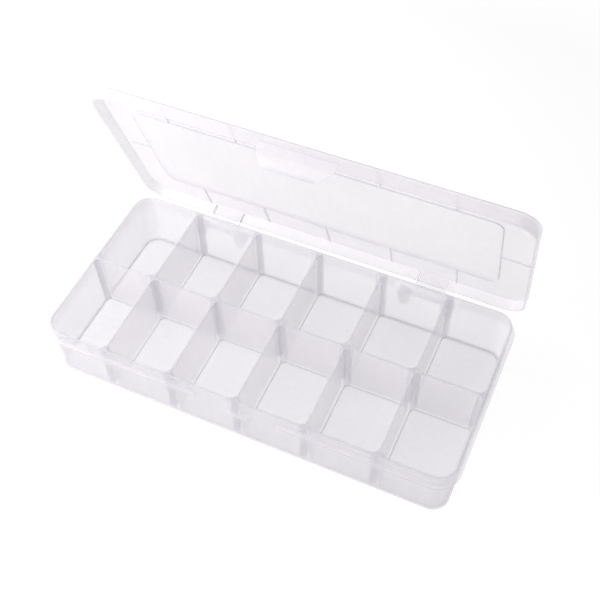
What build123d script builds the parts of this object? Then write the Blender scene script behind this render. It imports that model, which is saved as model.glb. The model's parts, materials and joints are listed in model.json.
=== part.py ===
from build123d import *
import os
from math import radians, tan

# Twelve-compartment storage box with one hinged lid, two mouldings in clear plastic.
# Origin at the centre of the underside, +X along the length, +Y towards the hinges
# at the back, +Z up.  Lengths are millimetres, angles are degrees.

# ------------------------------------------------------------- driving sizes: tray
COLUMNS = 6                  # compartments along the length, in two rows
CELL_LENGTH = 43.9           # clear length of a compartment, at the rim
END_CELL_LENGTH = 42.45      # clear length of the first and last column, at the rim
CELL_WIDTH = 60.75           # clear width of a compartment, at the rim
CELL_DEPTH = 41.4            # from the rim down to the floor
FLOOR = 1.6                  # thickness of the floor
RIM_WALL = 1.4               # thickness of the outer walls
DIVIDER_TOP = 1.1            # thickness of a divider, at the rim
WALL_DRAFT = 1.5             # mould draft of the outer walls
DIVIDER_DRAFT = 0.4          # mould draft of each side of a divider
JUNCTION_FILLET = 4.0        # upright fillet where a divider meets a wall or another divider
CORNER_RADIUS = 10.6         # inside radius of the tray's corners, at the rim
BASE_EDGE_RADIUS = 2.0       # rounding of the edge that meets the table

LEDGE_DROP = 6.3             # from the rim down to the top of the ledge
LEDGE_THICKNESS = 2.7
LEDGE_OVERHANG = 2.6         # how far the ledge stands out past the rim
LEDGE_CHAMFER = 0.6          # top outer edge of the ledge

# -------------------------------------------------------------- driving sizes: lid
SKIRT_GAP = 1.2              # between the rim and the inside of the skirt
SKIRT_WALL = 1.4
SKIRT_LIFT = 0.2             # between the ledge and the skirt's free edge
LID_THICKNESS = 1.2          # of the plate
LID_EDGE_RADIUS = 0.9        # rounding of the plate's outer edge
PANEL_GAP = 0.2              # between the rim and the underside of the panel
PANEL_STEP = 0.8             # how far the panel lies below the margin around it
PANEL_MARGIN = 20.0          # from the outside of the lid to the panel's edge
PANEL_HINGE_MARGIN = 24.0    # the same, on the hinges' side
PANEL_CORNER = 7.0           # corner radius of the panel
LID_RIB_WIDTH = 0.9          # ribs across the margin, in line with the dividers
REST_OPENING = 71.5          # how far the lid stands open

# ------------------------------------------------------------ driving sizes: latch
TAB_WIDTH = 48.0
TAB_END_WIDTH = 34.0         # width of the tab's free end
TAB_THICKNESS = 1.2
TAB_ROOT = 4.0               # overlap of the tab on the skirt
TAB_SHOULDER = 3.0           # from the skirt's free edge down to where the tab narrows
TAB_DROP = 12.0              # from the skirt's free edge down to the end of the tab
TAB_CORNER = 4.0             # corner radius of the free end
TAB_BEVEL = 0.8              # bevel of the end's outer edge, to get a fingertip under
TAB_SIDE_GAP = 2.5           # between the tab and the ends of the ledge
LIP_WIDTH = 30.0             # lip inside the tab's end, which snaps past the catch
LIP_HEIGHT = 1.8
LIP_DEPTH = 0.8
CATCH_WIDTH = 16.0
CATCH_HEIGHT = 2.6
CATCH_LAND = 0.6             # height of the flat at the catch's tip
LATCH_GAP = 0.1              # between the catch's tip and the lip as it passes
LATCH_PLAY = 0.2             # between the catch and the lip below it, lid closed

# ----------------------------------------------------------- driving sizes: hinges
HINGE_SPREAD = 150.0         # between the middles of the two hinges
HINGE_DROP = 15.0            # from the rim down to the hinge axis
TONGUE_WIDTH = 20.3
TONGUE_THICKNESS = 1.4
SLIT_WIDTH = 0.8             # slit in the skirt at each side of a tongue
PIN_RADIUS = 1.6
PIN_RUNNING_GAP = 0.08       # radial, between pin and cradle
PIN_OVERRUN = 0.6            # how far the pin shows past its cradles
CRADLE_WALL = 1.42           # around the pin
CRADLE_WIDTH = 8.0
CRADLE_SIDE_GAP = 0.75       # between the tongue and each cradle
MOUTH_WIDTH = 2.7            # opening that the pin snaps in through
WEB_DROP = 5.0               # how far the cradle's web runs down the wall below the cradle
WEB_CORNER = 3.0             # corner radius of the web's lower end, seen from behind
HINGE_LEDGE_GAP = 2.5        # between the pin's end and the ends of the ledge

# -------------------------------------------------------------------- worked out
RIM_Z = FLOOR + CELL_DEPTH
PITCH = CELL_LENGTH + DIVIDER_TOP
INNER_X = END_CELL_LENGTH + (COLUMNS / 2 - 1) * PITCH + DIVIDER_TOP / 2
INNER_Y = CELL_WIDTH + DIVIDER_TOP / 2
CORNER_X = INNER_X - CORNER_RADIUS
CORNER_Y = INNER_Y - CORNER_RADIUS
RIM_RADIUS = CORNER_RADIUS + RIM_WALL
DIVIDER_X = [(number - COLUMNS / 2) * PITCH for number in range(1, COLUMNS)]
DIVIDER_REACH = DIVIDER_TOP / 2 + CELL_DEPTH * tan(radians(DIVIDER_DRAFT)) + JUNCTION_FILLET
WALL_REACH = CELL_DEPTH * tan(radians(WALL_DRAFT)) + JUNCTION_FILLET

LEDGE_Z = RIM_Z - LEDGE_DROP
LEDGE_RADIUS = RIM_RADIUS + LEDGE_OVERHANG

SKIRT_INNER = RIM_RADIUS + SKIRT_GAP
LID_RADIUS = SKIRT_INNER + SKIRT_WALL
LID_X = CORNER_X + LID_RADIUS
LID_Y = CORNER_Y + LID_RADIUS
SKIRT_Z = LEDGE_Z + SKIRT_LIFT
PANEL_Z = RIM_Z + PANEL_GAP
PLATE_Z = PANEL_Z + PANEL_STEP
LID_TOP = PLATE_Z + LID_THICKNESS
PANEL_X = LID_X - PANEL_MARGIN
PANEL_Y = LID_Y - (PANEL_MARGIN + PANEL_HINGE_MARGIN) / 2
PANEL_SHIFT = (PANEL_MARGIN - PANEL_HINGE_MARGIN) / 2

TAB_FACE = LID_Y + TAB_THICKNESS
TAB_END = SKIRT_Z - TAB_DROP
LIP_TOP = TAB_END + LIP_HEIGHT
CATCH_TIP = LID_Y - LIP_DEPTH - LATCH_GAP
CATCH_Z = LIP_TOP + LATCH_PLAY

HINGE_X = [-HINGE_SPREAD / 2, HINGE_SPREAD / 2]
HINGE_Y = LID_Y + TONGUE_THICKNESS / 2
HINGE_Z = RIM_Z - HINGE_DROP
CRADLE_BORE = PIN_RADIUS + PIN_RUNNING_GAP
CRADLE_RADIUS = CRADLE_BORE + CRADLE_WALL
CRADLE_X = TONGUE_WIDTH / 2 + CRADLE_SIDE_GAP + CRADLE_WIDTH / 2
PIN_HALF = CRADLE_X + CRADLE_WIDTH / 2 + PIN_OVERRUN
LEDGE_GAP_HALF = PIN_HALF + HINGE_LEDGE_GAP
FAR = LID_X + LID_Y + LID_TOP   # past every face, for cuts that go right through


# ------------------------------------------------------------------------ helpers
def block(x_limits, y_limits, z_limits):
    """Box between its limits along each axis."""
    size = [limits[1] - limits[0] for limits in (x_limits, y_limits, z_limits)]
    centre = [sum(limits) / 2 for limits in (x_limits, y_limits, z_limits)]
    return Pos(*centre) * Box(*size)


def outline(radius, z):
    """Rounded rectangle at height z, concentric with the tray's corners."""
    return Pos(0, 0, z) * RectangleRounded(2 * (CORNER_X + radius), 2 * (CORNER_Y + radius), radius)


def ring(outer, inner, z_low, z_high):
    """Upright ring between two concentric outlines."""
    height = z_high - z_low
    return extrude(outline(outer, z_low), height) - extrude(outline(inner, z_low), height)


def mirrored_limits(side, near, far):
    """Limits from near to far on one side (+1 or -1) of a centre plane."""
    return sorted((side * near, side * far))


def runs_and_corners(shape):
    """The solids of a ring, cut apart at its corner centres, so each is one straight or round piece."""
    corner_blocks = [
        block(mirrored_limits(x_side, CORNER_X, FAR), mirrored_limits(y_side, CORNER_Y, FAR), (0, FAR))
        for x_side in (-1, 1)
        for y_side in (-1, 1)
    ]
    pieces = list((shape - corner_blocks).solids())
    for corner_block in corner_blocks:
        pieces += (shape & corner_block).solids()
    return pieces


def across_hinge(profile, x_centre, width):
    """Solid of one profile, drawn on the plane of Y and Z, centred on x_centre."""
    return Pos(x_centre, 0, 0) * extrude(Plane.YZ * profile, width / 2, both=True)


def opened(shape):
    """A lid piece, drawn closed, swung to where the lid stands."""
    return shape.rotate(Axis((0, HINGE_Y, HINGE_Z), (-1, 0, 0)), REST_OPENING)


def write(node, pieces):
    """Write one sub-part, made of one or more solids."""
    solids = [solid for piece in pieces for solid in piece.solids()]
    export_step(Compound(solids), f"parts/{node}.step")


# --------------------------------------------------------------------------- tray
def divider_face(centre, side, depth):
    """Place of a divider's face, on one side of its centre plane, at a depth below the rim."""
    return centre + side * (DIVIDER_TOP / 2 + depth * tan(radians(DIVIDER_DRAFT)))


def wall_face(half_size, side, depth):
    """Place of an outer wall's inner face at a depth below the rim."""
    return side * (half_size - depth * tan(radians(WALL_DRAFT)))


def cell_section(column, row, depth):
    """Outline of one compartment at a depth below the rim; row is -1 in front, +1 behind."""
    first = column == 0
    last = column == COLUMNS - 1
    x_low = wall_face(INNER_X, -1, depth) if first else divider_face(DIVIDER_X[column - 1], 1, depth)
    x_high = wall_face(INNER_X, 1, depth) if last else divider_face(DIVIDER_X[column], -1, depth)
    y_near = divider_face(0, row, depth)
    y_far = wall_face(INNER_Y, row, depth)
    corner = CORNER_RADIUS - depth * tan(radians(WALL_DRAFT))
    path = FilletPolyline(
        (x_low, y_near),
        (x_high, y_near),
        (x_high, y_far),
        (x_low, y_far),
        radius=[
            JUNCTION_FILLET,
            JUNCTION_FILLET,
            corner if last else JUNCTION_FILLET,
            corner if first else JUNCTION_FILLET,
        ],
        close=True,
    )
    return Pos(0, 0, RIM_Z - depth) * make_face(path)


def tray_block():
    """Outside of the tray, solid, with its drafted walls and rounded base edge."""
    base = outline(RIM_RADIUS - RIM_Z * tan(radians(WALL_DRAFT)), 0)
    body = loft([base, outline(RIM_RADIUS, RIM_Z)], ruled=True)
    return fillet(body.edges().group_by(Axis.Z)[0], BASE_EDGE_RADIUS)


def tray_moulding(body):
    """The tray with its twelve compartments open."""
    for column in range(COLUMNS):
        for row in (-1, 1):
            sections = [cell_section(column, row, depth) for depth in (CELL_DEPTH, 0)]
            body = body - loft(sections, ruled=True)
    return body


def long_divider_region():
    """Space of the long divider and its junctions, clear of the end walls' fillets."""
    reach = INNER_X - WALL_REACH
    return block((-reach, reach), (-DIVIDER_REACH, DIVIDER_REACH), (FLOOR, RIM_Z))


def cross_divider_region(x_centre, row):
    """Space of one short divider, between the fillets at its two ends."""
    return block(
        (x_centre - DIVIDER_REACH, x_centre + DIVIDER_REACH),
        mirrored_limits(row, DIVIDER_REACH, INNER_Y - WALL_REACH),
        (FLOOR, RIM_Z),
    )


def lid_ledge(body):
    """Flange that the lid rests on, open at the latch and at both hinges."""
    flange = extrude(outline(LEDGE_RADIUS, LEDGE_Z - LEDGE_THICKNESS), LEDGE_THICKNESS)
    flange = chamfer(flange.edges().group_by(Axis.Z)[-1], LEDGE_CHAMFER)
    flange = flange - body
    latch_half = TAB_WIDTH / 2 + TAB_SIDE_GAP
    flange = flange - block((-latch_half, latch_half), (-FAR, 0), (0, FAR))
    for x_centre in HINGE_X:
        flange = flange - block((x_centre - LEDGE_GAP_HALF, x_centre + LEDGE_GAP_HALF), (0, FAR), (0, FAR))
    return runs_and_corners(flange)


def latch_catch(body):
    """Wedge on the front wall, sloped on top and square below, that the tab's lip snaps past."""
    profile = make_face(
        Polyline(
            (-CORNER_Y, CATCH_Z),
            (-CATCH_TIP, CATCH_Z),
            (-CATCH_TIP, CATCH_Z + CATCH_LAND),
            (-INNER_Y, CATCH_Z + CATCH_HEIGHT),
            (-CORNER_Y, CATCH_Z + CATCH_HEIGHT),
            close=True,
        )
    )
    return across_hinge(profile, 0, CATCH_WIDTH) - body


def cradle_back_view(x_centre):
    """Column with the outline that one cradle shows from behind, its lower corners rounded."""
    half = CRADLE_WIDTH / 2
    low = HINGE_Z - CRADLE_RADIUS - WEB_DROP
    high = HINGE_Z + CRADLE_RADIUS
    view = make_face(
        FilletPolyline(
            (x_centre - half, high),
            (x_centre - half, low),
            (x_centre + half, low),
            (x_centre + half, high),
            radius=[0, WEB_CORNER, WEB_CORNER, 0],
            close=True,
        )
    )
    return extrude(Plane.XZ * view, -FAR)


def hinge_cradles(x_centre, body):
    """The two C-shaped cradles of one hinge, each carried on a web from the rear wall."""
    web = make_face(
        Polyline(
            (CORNER_Y, HINGE_Z - CRADLE_RADIUS - WEB_DROP),
            (INNER_Y, HINGE_Z - CRADLE_RADIUS - WEB_DROP),
            (HINGE_Y, HINGE_Z - CRADLE_RADIUS),
            (HINGE_Y, HINGE_Z),
            (HINGE_Y - CRADLE_RADIUS, HINGE_Z + CRADLE_RADIUS / 2),
            (CORNER_Y, HINGE_Z + CRADLE_RADIUS / 2),
            close=True,
        )
    )
    seat = Pos(HINGE_Y, HINGE_Z)
    mouth = Pos(HINGE_Y, HINGE_Z + CRADLE_RADIUS / 2) * Rectangle(MOUTH_WIDTH, CRADLE_RADIUS)
    profile = web + seat * Circle(CRADLE_RADIUS) - seat * Circle(CRADLE_BORE) - mouth
    cradles = []
    for side in (-1, 1):
        cradle_x = x_centre + side * CRADLE_X
        cradles.append((across_hinge(profile, cradle_x, CRADLE_WIDTH) & cradle_back_view(cradle_x)) - body)
    return cradles


# ---------------------------------------------------------------------------- lid
def panel_outline(inset, z):
    """Outline of the stepped panel, or of its recess, at height z."""
    return Pos(0, PANEL_SHIFT, z) * RectangleRounded(
        2 * (PANEL_X - inset),
        2 * (PANEL_Y - inset),
        PANEL_CORNER - inset,
    )


def lid_plate():
    """Flat of the lid, with its panel stepped down towards the compartments."""
    plate = extrude(outline(LID_RADIUS, PLATE_Z), LID_THICKNESS)
    plate = fillet(plate.edges().group_by(Axis.Z)[-1], LID_EDGE_RADIUS)
    plate = plate + extrude(panel_outline(0, PANEL_Z), PANEL_STEP)
    return plate - extrude(panel_outline(LID_THICKNESS, LID_TOP - PANEL_STEP), PANEL_STEP)


def lid_skirt():
    """Wall around the lid that closes over the rim, slit at each side of both hinge tongues."""
    skirt = ring(LID_RADIUS, SKIRT_INNER, SKIRT_Z, PLATE_Z)
    for x_centre in HINGE_X:
        for side in (-1, 1):
            slit_x = x_centre + side * (TONGUE_WIDTH + SLIT_WIDTH) / 2
            slit = block((slit_x - SLIT_WIDTH / 2, slit_x + SLIT_WIDTH / 2), (0, FAR), (0, PLATE_Z))
            skirt = skirt - slit
    return runs_and_corners(skirt)


def lid_ribs():
    """Short ribs from the skirt to the panel, over the end of every divider."""
    half = LID_RIB_WIDTH / 2
    skirt_y = CORNER_Y + SKIRT_INNER
    skirt_x = CORNER_X + SKIRT_INNER
    ribs = []
    for side in (-1, 1):
        along_y = mirrored_limits(side, PANEL_Y + side * PANEL_SHIFT, skirt_y)
        for x_centre in DIVIDER_X:
            ribs.append(block((x_centre - half, x_centre + half), along_y, (PANEL_Z, PLATE_Z)))
        ribs.append(block(mirrored_limits(side, PANEL_X, skirt_x), (-half, half), (PANEL_Z, PLATE_Z)))
    return ribs


def latch_tab():
    """Springy tab on the front of the skirt, narrowing to a bevelled end with a lip inside."""
    half = TAB_WIDTH / 2
    end_half = TAB_END_WIDTH / 2
    root = SKIRT_Z + TAB_ROOT
    shoulder = SKIRT_Z - TAB_SHOULDER
    front = make_face(
        FilletPolyline(
            (-half, root),
            (-half, shoulder),
            (-end_half, TAB_END),
            (end_half, TAB_END),
            (half, shoulder),
            (half, root),
            radius=[0, TAB_CORNER, TAB_CORNER, TAB_CORNER, TAB_CORNER, 0],
            close=True,
        )
    )
    side = make_face(
        Polyline(
            (-LID_Y, root),
            (-TAB_FACE, root - TAB_THICKNESS),
            (-TAB_FACE, TAB_END + 2 * TAB_BEVEL),
            (-TAB_FACE + TAB_BEVEL, TAB_END),
            (-LID_Y, TAB_END),
            close=True,
        )
    )
    tab = across_hinge(side, 0, TAB_WIDTH) & extrude(Plane.XZ * front, FAR)
    lip = block((-LIP_WIDTH / 2, LIP_WIDTH / 2), (-LID_Y, LIP_DEPTH - LID_Y), (TAB_END, LIP_TOP))
    return tab + lip


def hinge_pin(x_centre):
    """Round pin across the end of one tongue, standing out at both sides."""
    return across_hinge(Pos(HINGE_Y, HINGE_Z) * Circle(PIN_RADIUS), x_centre, 2 * PIN_HALF)


def hinge_tongue(x_centre):
    """Springy tongue from the back of the skirt down to its pin."""
    tongue = block(
        (x_centre - TONGUE_WIDTH / 2, x_centre + TONGUE_WIDTH / 2),
        (LID_Y, LID_Y + TONGUE_THICKNESS),
        (HINGE_Z, PLATE_Z),
    )
    return tongue - hinge_pin(x_centre)


# --------------------------------------------------------------------- sub-parts
def main():
    """Write every sub-part where it lies, with the lid standing open."""
    os.makedirs("parts", exist_ok=True)
    outside = tray_block()
    tray = tray_moulding(outside)

    shell = tray - long_divider_region()
    write("long_divider", [tray & long_divider_region()])
    for row, row_name in ((-1, "front"), (1, "rear")):
        for number, x_centre in enumerate(DIVIDER_X, start=1):
            region = cross_divider_region(x_centre, row)
            write(f"{row_name}_divider_{number}", [tray & region])
            shell = shell - region
    write("tray_shell", [shell])
    write("lid_ledge", lid_ledge(outside))
    write("latch_catch", [latch_catch(outside)])

    write("lid_plate", [opened(lid_plate())])
    write("lid_skirt", [opened(piece) for piece in lid_skirt()])
    write("lid_ribs", [opened(rib) for rib in lid_ribs()])
    write("latch_tab", [opened(latch_tab())])

    for side_name, x_centre in zip(("left", "right"), HINGE_X):
        write(f"{side_name}_hinge_cradles", hinge_cradles(x_centre, outside))
        write(f"{side_name}_hinge_tongue", [opened(hinge_tongue(x_centre))])
        write(f"{side_name}_hinge_pin", [opened(hinge_pin(x_centre))])


main()
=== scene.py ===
"""Dressed model of a clear twelve-compartment storage box with one hinged snap lid.

Sizes in the classes are millimetres in the row frame: origin at the centre of the tray's
underside, +X along the length, +Y towards the hinges, +Z up. Meshes are made in metres.
"""

import json
import logging
import math
from collections.abc import Callable, Container, Sequence
from dataclasses import dataclass
from enum import Enum
from itertools import product

import bmesh
import bpy
from mathutils import Matrix, Vector
from mathutils.geometry import tessellate_polygon

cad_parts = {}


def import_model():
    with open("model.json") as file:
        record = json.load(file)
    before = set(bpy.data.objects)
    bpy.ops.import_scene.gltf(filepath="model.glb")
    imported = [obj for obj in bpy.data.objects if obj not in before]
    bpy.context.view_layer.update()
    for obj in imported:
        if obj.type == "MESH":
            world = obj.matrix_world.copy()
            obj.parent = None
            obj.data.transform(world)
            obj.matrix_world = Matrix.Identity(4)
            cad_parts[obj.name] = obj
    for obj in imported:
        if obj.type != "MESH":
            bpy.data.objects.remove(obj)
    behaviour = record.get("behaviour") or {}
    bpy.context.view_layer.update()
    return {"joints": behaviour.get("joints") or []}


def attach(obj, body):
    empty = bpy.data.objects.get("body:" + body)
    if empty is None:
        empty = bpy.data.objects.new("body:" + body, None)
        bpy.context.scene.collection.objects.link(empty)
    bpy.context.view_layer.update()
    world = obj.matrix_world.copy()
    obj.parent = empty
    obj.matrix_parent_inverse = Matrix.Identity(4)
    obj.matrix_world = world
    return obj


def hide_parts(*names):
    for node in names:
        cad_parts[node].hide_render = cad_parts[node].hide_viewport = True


MM = 0.001
SOFTEST = 0.3  # share of a rounding at its middle point
WHITE = (1.0, 1.0, 1.0, 1.0)
SIDES = ("left", "right")
LOG = logging.getLogger("storage_box")

Point = tuple[float, float, float]
Flat = tuple[float, float]
Station = tuple[float, float, float, float]
Colour = tuple[float, float, float]
Stops = tuple[Sequence[float], Sequence[float], Sequence[float], Sequence[float]]
Level = tuple["Outline", float, float | list[float]]
Corner = tuple[int, float]
Ring = list[Corner]
Place = Callable[[float, float, float], Point]
Object = bpy.types.Object
Socket = bpy.types.NodeSocket
Part = tuple[Object, "FrostedPlastic", Sequence[str]]

NO_STOPS: Stops = ((), (), (), ())


class Body(Enum):
    """The two bodies that pieces ride on."""

    TRAY = "tray"
    LID = "lid"


class Slot(Enum):
    """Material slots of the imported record."""

    TRAY = "tray_plastic"
    LID = "lid_plastic"


class Bulk(float, Enum):
    """How much plastic the eye looks through at a face, from a thin wall to a solid edge."""

    WALL = 0.0
    FAINT = 0.12
    SOFT = 0.3
    POST = 0.55
    RIM = 0.75
    EDGE = 1.0


# ---------------------------------------- outlines
@dataclass(frozen=True)
class Outline:
    """Rectangle with its own radius at each corner, seen from above."""

    x_low: float
    x_high: float
    y_low: float
    y_high: float
    radii: tuple[float, float, float, float]

    LEAST_RADIUS = 0.01

    def grown(self, distance: float) -> "Outline":
        """The outline moved outwards all round.

        Args:
            distance: How far it moves.

        Returns:
            The new outline.
        """
        x_low, x_high = self.x_low - distance, self.x_high + distance
        radii = tuple(max(radius + distance, self.LEAST_RADIUS) for radius in self.radii)
        return Outline(x_low, x_high, self.y_low - distance, self.y_high + distance, radii)

    def stations(self, steps: int, stops: Stops = NO_STOPS) -> list[Station]:
        """Points round the outline with the direction out of it, which stops don't have.

        Args:
            steps: Pieces in each corner's arc.
            stops: More places on each straight run: along X on the front and rear runs,
                along Y on the right and left runs, each in the order of the walk.

        Returns:
            The arc and then the stops of each corner, anticlockwise from the front left.
        """
        x_low, x_high, y_low, y_high = self.x_low, self.x_high, self.y_low, self.y_high
        one, two, three, four = self.radii
        corners = (
            (x_low + one, y_low + one, one, math.pi, [(x, y_low) for x in stops[0]]),
            (x_high - two, y_low + two, two, 1.5 * math.pi, [(x_high, y) for y in stops[1]]),
            (x_high - three, y_high - three, three, 0.0, [(x, y_high) for x in stops[2]]),
            (x_low + four, y_high - four, four, 0.5 * math.pi, [(x_low, y) for y in stops[3]]),
        )
        made = []
        for centre_x, centre_y, radius, start, run in corners:
            for step in range(steps + 1):
                angle = start + step / steps * math.pi / 2
                out_x, out_y = math.cos(angle), math.sin(angle)
                made.append((centre_x + radius * out_x, centre_y + radius * out_y, out_x, out_y))
            made += [(x, y, 0.0, 0.0) for x, y in run]
        return made

    def points(self, z: float, steps: int, stops: Stops = NO_STOPS) -> list[Point]:
        """The outline's stations as points at one height."""
        return [(x, y, z) for x, y, _, _ in self.stations(steps, stops)]


def quarter_turn(radius: float, steps: int) -> list[Flat]:
    """Quarter circle that starts tangent to the second axis.

    Args:
        radius: Radius of the rounding.
        steps: Pieces in it.

    Returns:
        Pairs of how far it has turned in and how far it has gone along, from none of both.
    """
    turns = [step / steps * math.pi / 2 for step in range(steps + 1)]
    return [(radius * (1 - math.cos(turn)), radius * math.sin(turn)) for turn in turns]


def small_rounding(outline: Outline, z: float, out: float, up: float, bulk: float) -> list[Level]:
    """Levels of a small rounding between a flat and a wall.

    Args:
        outline: The wall's outline.
        z: Height of the flat.
        out: How far out of the wall the flat ends, negative for inside it.
        up: How far above the flat the wall starts, negative for below it.
        bulk: Bulk of the rounding.

    Returns:
        Three levels, from the flat to the wall.
    """
    shares = ((1.0, 0.0), (SOFTEST, SOFTEST), (0.0, 1.0))
    return [(outline.grown(out * flat), z + up * wall, bulk) for flat, wall in shares]


def drawn_in(outline: Sequence[Flat], distance: float) -> list[Flat]:
    """A closed anticlockwise outline moved inwards, point for point.

    Args:
        outline: Points of the outline.
        distance: How far each side moves.

    Returns:
        As many points as the outline has.
    """
    moved = []
    for place, (a, b) in enumerate(outline):
        here = Vector((a, b))
        first = (here - Vector(outline[place - 1])).normalized()
        second = (Vector(outline[(place + 1) % len(outline)]) - here).normalized()
        middle = Vector((-first.y, first.x)) + Vector((-second.y, second.x))
        reach = distance * 2 / max(middle.length_squared, 1.0)
        moved.append((a + middle.x * reach, b + middle.y * reach))
    return moved


def rounded_polygon(corners: Sequence[Point], steps: int) -> list[Flat]:
    """Polygon with its corners rounded.

    Args:
        corners: Each corner's place and radius, anticlockwise.
        steps: Pieces in each rounding.

    Returns:
        Points of the outline.
    """
    made = []
    for place, (a, b, radius) in enumerate(corners):
        here = Vector((a, b))
        if radius <= 0:
            made.append((a, b))
            continue
        before = (Vector(corners[place - 1][:2]) - here).normalized()
        after = (Vector(corners[(place + 1) % len(corners)][:2]) - here).normalized()
        half = before.angle(after) / 2
        centre = here + (before + after).normalized() * radius / math.sin(half)
        start = here + before * radius / math.tan(half) - centre
        end = here + after * radius / math.tan(half) - centre
        turn = start.angle_signed(end)
        for step in range(steps + 1):
            spoke = start.copy()
            spoke.rotate(Matrix.Rotation(-turn * step / steps, 2))
            made.append(tuple(centre + spoke))
    return made


def rounded_rectangle(low: Flat, high: Flat, radii: Sequence[float], steps: int) -> list[Flat]:
    """Rectangle with its corners rounded.

    Args:
        low: Its low corner.
        high: Its high corner.
        radii: Radius of each corner, anticlockwise from the low one.
        steps: Pieces in each rounding.

    Returns:
        Points of the outline.
    """
    corners = (low, (high[0], low[1]), high, (low[0], high[1]))
    return rounded_polygon([(*corner, radius) for corner, radius in zip(corners, radii)], steps)


def along_x(y: float, z: float, x: float) -> Point:
    """Point of a plate that is drawn in Y and Z and faces along X."""
    return x, y, z


def along_y(middle: float) -> Place:
    """Places a plate that is drawn in X and Z, round a middle, and faces along Y."""
    return lambda x, z, y: (middle + x, y, z)


# ---------------------------------------- drawing meshes
class MeshDraft:
    """Points and faces of one mesh while it is drawn, in millimetres."""

    BULK = "bulk"
    WELD = 1e-7  # metres
    SHARP_ANGLE = 35.0  # edges that turn by more degrees stay sharp

    def __init__(self) -> None:
        """Starts with no points."""
        self.points: list[Point] = []
        self.faces: list[list[int]] = []
        self.bulks: list[float] = []

    def ring(self, points: Sequence[Point], bulk: float | Sequence[float]) -> Ring:
        """Adds a ring of points.

        Args:
            points: The points in order.
            bulk: Bulk of all the points, or of each.

        Returns:
            Each point's number with its bulk.
        """
        bulks = bulk if isinstance(bulk, Sequence) else [bulk] * len(points)
        self.points.extend(points)
        return list(zip(range(len(self.points) - len(points), len(self.points)), bulks))

    def rings(self, levels: Sequence[Level], steps: int, stops: Stops = NO_STOPS) -> list[Ring]:
        """Adds the ring of each level, with its corners divided into steps."""
        return [self.ring(outline.points(z, steps, stops), bulk) for outline, z, bulk in levels]

    def add_face(self, corners: Sequence[Corner]) -> None:
        """Adds one face, which can be a whole ring."""
        self.faces.append([number for number, _ in corners])
        self.bulks.extend(bulk for _, bulk in corners)

    def bridge(self, first: Ring, second: Ring, skipped: Container[int] = ()) -> None:
        """Joins two rings of as many points with four-sided faces.

        Args:
            first: One ring.
            second: The other ring.
            skipped: Places that get no face.
        """
        for place in range(len(first)):
            after = (place + 1) % len(first)
            if place not in skipped:
                self.add_face((first[place], first[after], second[after], second[place]))

    def stack(self, rings: Sequence[Ring], open_start: bool = False) -> Ring:
        """Joins rings one after another and covers the ends.

        Args:
            rings: The rings in order.
            open_start: Whether the first ring stays open.

        Returns:
            The first ring.
        """
        for first, second in zip(rings, rings[1:]):
            self.bridge(first, second)
        if not open_start:
            self.add_face(rings[0])
        self.add_face(rings[-1])
        return rings[0]

    def sheet(self, rings: Sequence[Ring]) -> None:
        """Fills a flat sheet between an outer ring and the holes in it.

        Args:
            rings: The outer ring and then the ring of each hole.
        """
        corners = [corner for ring in rings for corner in ring]
        outlines = [[Vector(self.points[number]) for number, _ in ring] for ring in rings]
        for triangle in tessellate_polygon(outlines):
            self.add_face([corners[place] for place in triangle])

    def sweep(self, path: Sequence[Station], profile: Sequence[Flat], bulk: float) -> None:
        """Sweeps an upright profile along a flat path and closes both ends.

        Args:
            path: Place and outward direction at each point of the path.
            profile: Closed outline, as distance outwards from the path and height.
            bulk: Bulk of the run.
        """
        rows = [[(x + out * dx, y + out * dy, z) for out, z in profile] for x, y, dx, dy in path]
        self.stack([self.ring(row, bulk) for row in rows])

    def rounded_plate(
        self,
        outline: Sequence[Flat],
        place: Place,
        depths: Sequence[float],
        rounding: float,
        bulks: Flat,
    ) -> None:
        """Draws a flat plate of any outline whose two faces meet its edge in a small rounding.

        Args:
            outline: Outline of the plate's edge, anticlockwise.
            place: Turns two outline values and a depth into a point.
            depths: Depths of the plate's two faces.
            rounding: Size of the rounding.
            bulks: Bulk of the faces and of the edge.
        """
        low, high = depths
        face_bulk, edge_bulk = bulks
        levels = [
            (rounding, low, face_bulk),
            (rounding * SOFTEST, low + rounding * SOFTEST, edge_bulk),
            (0.0, low + rounding, edge_bulk),
        ]
        levels += [(inset, low + high - depth, bulk) for inset, depth, bulk in reversed(levels)]
        rings = []
        for inset, depth, bulk in levels:
            row = [place(a, b, depth) for a, b in drawn_in(outline, inset)]
            rings.append(self.ring(row, bulk))
        self.stack(rings)

    def finished(self, name: str) -> Object:
        """Makes the object, with its faces turned outwards and its gentle edges smooth.

        Args:
            name: Name of the object.

        Returns:
            The object, linked to the scene.
        """
        mesh = bpy.data.meshes.new(name)
        mesh.from_pydata([[value * MM for value in point] for point in self.points], [], self.faces)
        attribute = mesh.attributes.new(self.BULK, "FLOAT", "CORNER")
        attribute.data.foreach_set("value", self.bulks)
        drawn = bmesh.new()
        drawn.from_mesh(mesh)
        bmesh.ops.remove_doubles(drawn, verts=drawn.verts, dist=self.WELD)
        bmesh.ops.recalc_face_normals(drawn, faces=drawn.faces)
        drawn.to_mesh(mesh)
        drawn.free()
        mesh.shade_smooth()
        mesh.set_sharp_from_angle(angle=math.radians(self.SHARP_ANGLE))
        made = bpy.data.objects.new(name, mesh)
        bpy.context.scene.collection.objects.link(made)
        return made


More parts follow.
